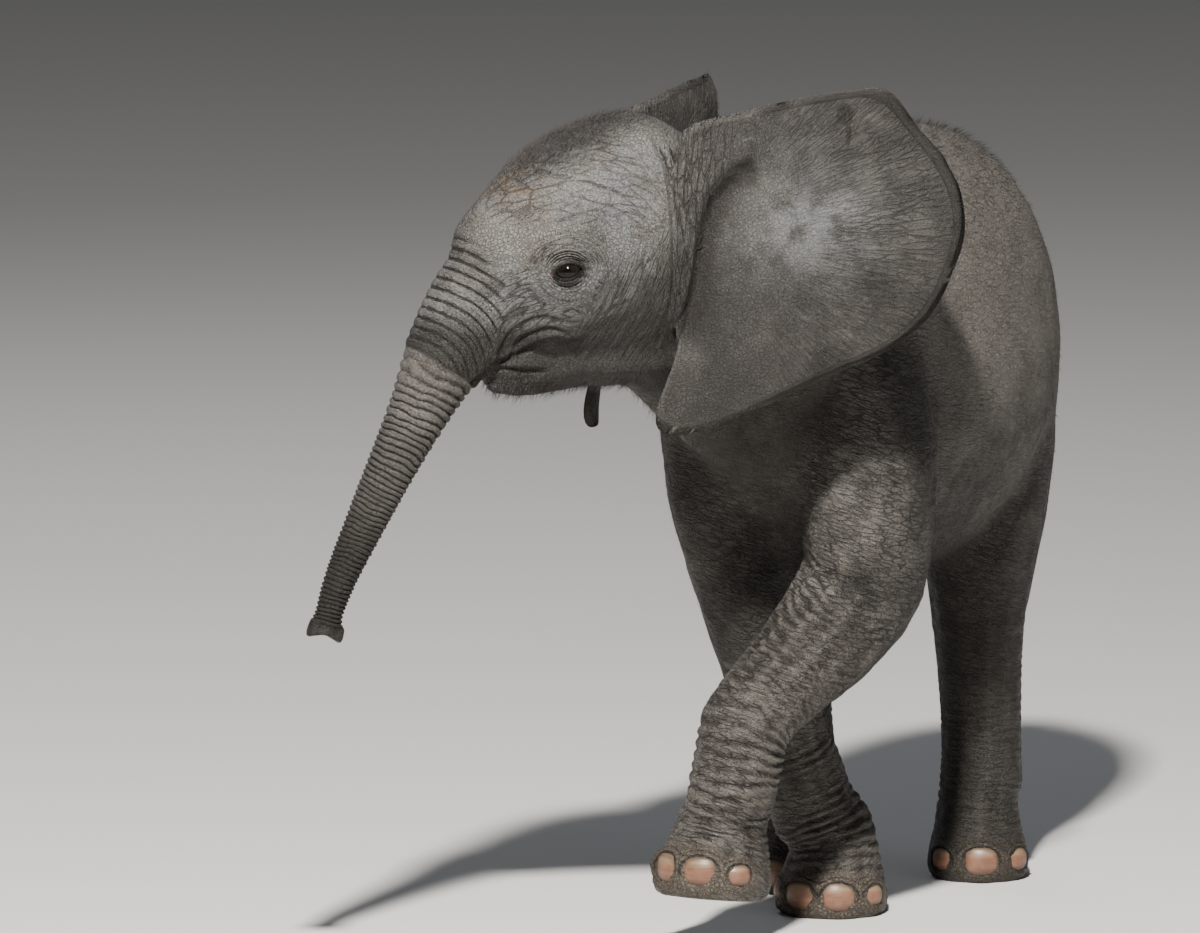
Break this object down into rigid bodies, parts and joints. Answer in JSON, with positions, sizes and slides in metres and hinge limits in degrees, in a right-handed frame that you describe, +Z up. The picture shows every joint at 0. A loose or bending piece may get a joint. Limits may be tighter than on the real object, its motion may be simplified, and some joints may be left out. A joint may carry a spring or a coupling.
{
  "type": "elephant calf",
  "caption": "Life-size African elephant calf caught walking, head turned to its right, ears spread, left forefoot lifted, standing on its own feet.",
  "frame": {"origin": "on the floor, under the middle of the calf's bounding box", "axes": "+Z up; the calf's body faces -Y, so its left side is +X; its head is turned about 48 degrees towards -X"},
  "size_m": [0.6856, 1.2552, 1.0602],
  "materials": {
    "hide": "dry wrinkled grey-brown elephant hide, dusty, sparsely haired",
    "eyeball": "wet dark brown eye",
    "nail": "smooth horn, beige to brown",
    "tail_hair": "stiff near-black hair"
  },
  "bodies": {
    "root": {"torso": "hide", "neck": "hide", "head": "hide", "lower_jaw": "hide", "trunk_upper": "hide", "trunk_middle": "hide", "trunk_tip": "hide", "ear_left": "hide", "ear_right": "hide", "eye_left": "eyeball", "eye_right": "eyeball", "forefoot_left": "hide", "forefoot_right": "hide", "foreleg_lower_left": "hide", "foreleg_lower_right": "hide", "foreleg_upper_left": "hide", "foreleg_upper_right": "hide", "hindfoot_left": "hide", "hindfoot_right": "hide", "hindleg_lower_left": "hide", "hindleg_lower_right": "hide", "hindleg_upper_left": "hide", "hindleg_upper_right": "hide", "nail_fore_left_1": "nail", "nail_fore_left_2": "nail", "nail_fore_left_3": "nail", "nail_fore_left_4": "nail", "nail_fore_right_1": "nail", "nail_fore_right_2": "nail", "nail_fore_right_3": "nail", "nail_fore_right_4": "nail", "nail_hind_left_1": "nail", "nail_hind_left_2": "nail", "nail_hind_left_3": "nail", "nail_hind_right_1": "nail", "nail_hind_right_2": "nail", "nail_hind_right_3": "nail", "tail": "hide", "tail_tuft": "tail_hair"}
  },
  "joints": []
}
